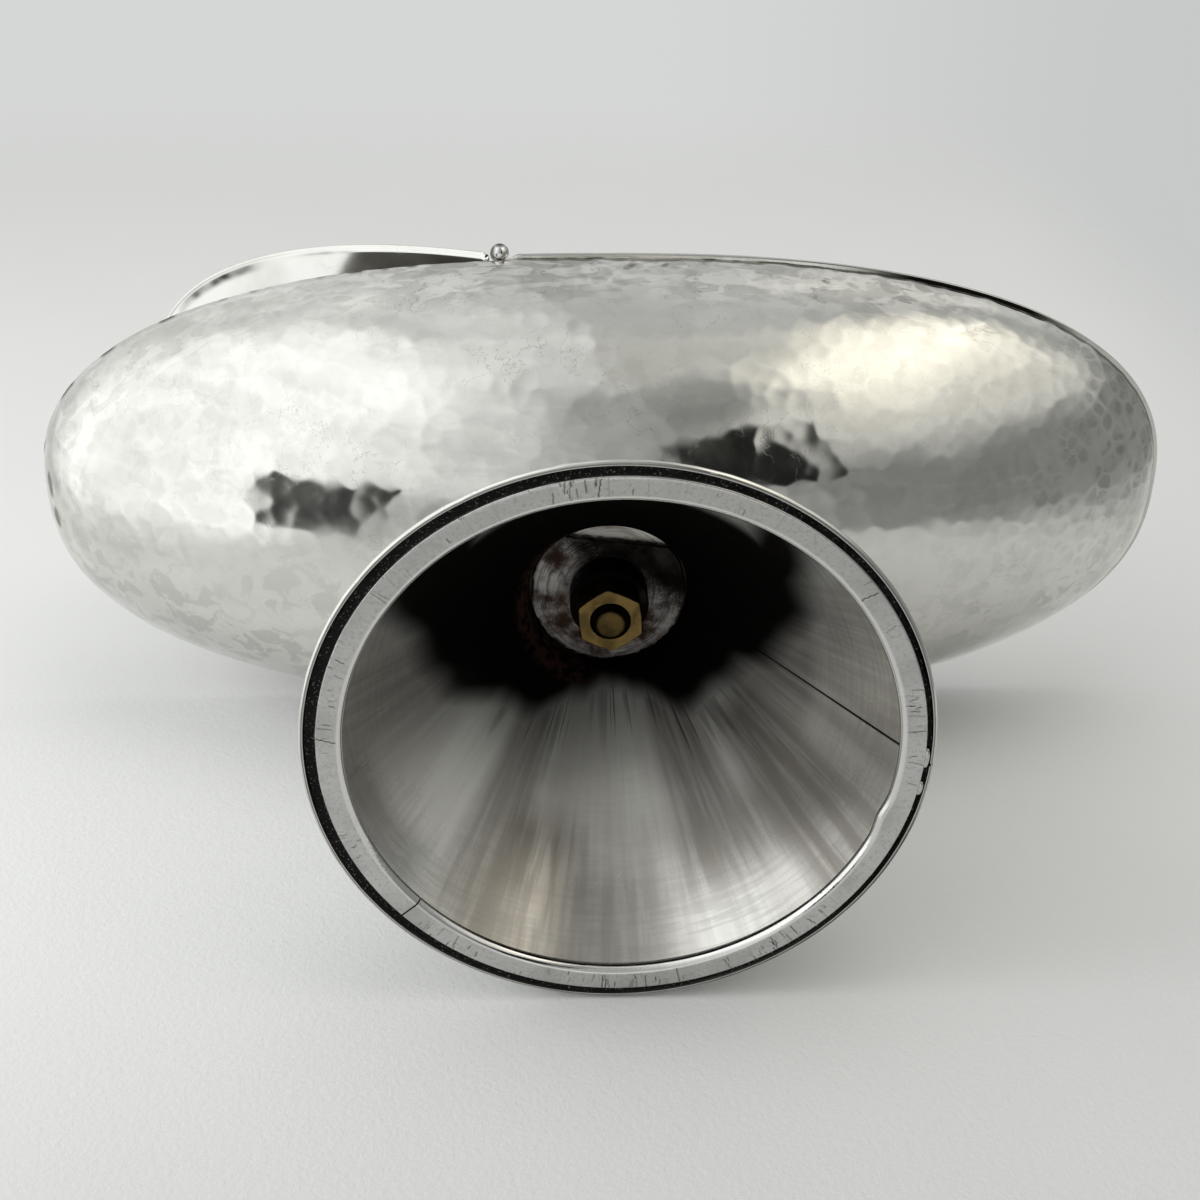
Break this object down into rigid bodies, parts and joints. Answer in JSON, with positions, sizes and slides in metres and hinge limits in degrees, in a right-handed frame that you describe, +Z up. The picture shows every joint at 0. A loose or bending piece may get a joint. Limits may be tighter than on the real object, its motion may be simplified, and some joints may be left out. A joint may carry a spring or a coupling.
{
  "type": "incense boat",
  "caption": "Oval hammered incense boat on a hollow trumpet foot, with a fixed deck over part of its mouth and a knobbed lid that swings on a pinned knuckle hinge.",
  "frame": {"origin": "centre of the foot on the surface that the boat stands on", "axes": "+X along the boat towards the lid's tip, +Y across it to the left, +Z up"},
  "size_m": [0.165, 0.0734, 0.1066],
  "materials": {
    "hammered_silver": "planished all over with small hammer facets, polished, with light tarnish between them",
    "polished_silver": "hand polished with fine scratches",
    "brushed_silver": "rubbed bright with streaks along the cone and grey tarnish towards its neck",
    "worn_silver": "dull, with solder marks and brown tarnish",
    "tarnished_plate": "dark tarnish over rough-cut metal",
    "brass": "dull worn brass with tool marks"
  },
  "bodies": {
    "boat": {"bowl": "hammered_silver", "deck": "hammered_silver", "deck_knuckle_right": "worn_silver", "deck_knuckle_middle": "worn_silver", "deck_knuckle_left": "worn_silver", "hinge_pin": "worn_silver", "pin_ball_right": "polished_silver", "pin_ball_left": "polished_silver", "foot_cone": "brushed_silver", "foot_base_ring": "brushed_silver", "foot_top_plate": "worn_silver", "stud": "brass", "clamp_washer": "tarnished_plate", "clamp_bush": "tarnished_plate", "clamp_nut": "brass"},
    "lid": {"lid": "hammered_silver", "lid_knuckle_right": "worn_silver", "lid_knuckle_left": "worn_silver", "lid_knob": "polished_silver", "knob_burr": "worn_silver"}
  },
  "joints": [
    {"name": "lid_hinge", "type": "hinge", "parent": "boat", "child": "lid", "pos_m": [0.0144, 0, 0.0719], "axis": [0, -1, 0], "range_deg": [-30.5, 142]}
  ]
}
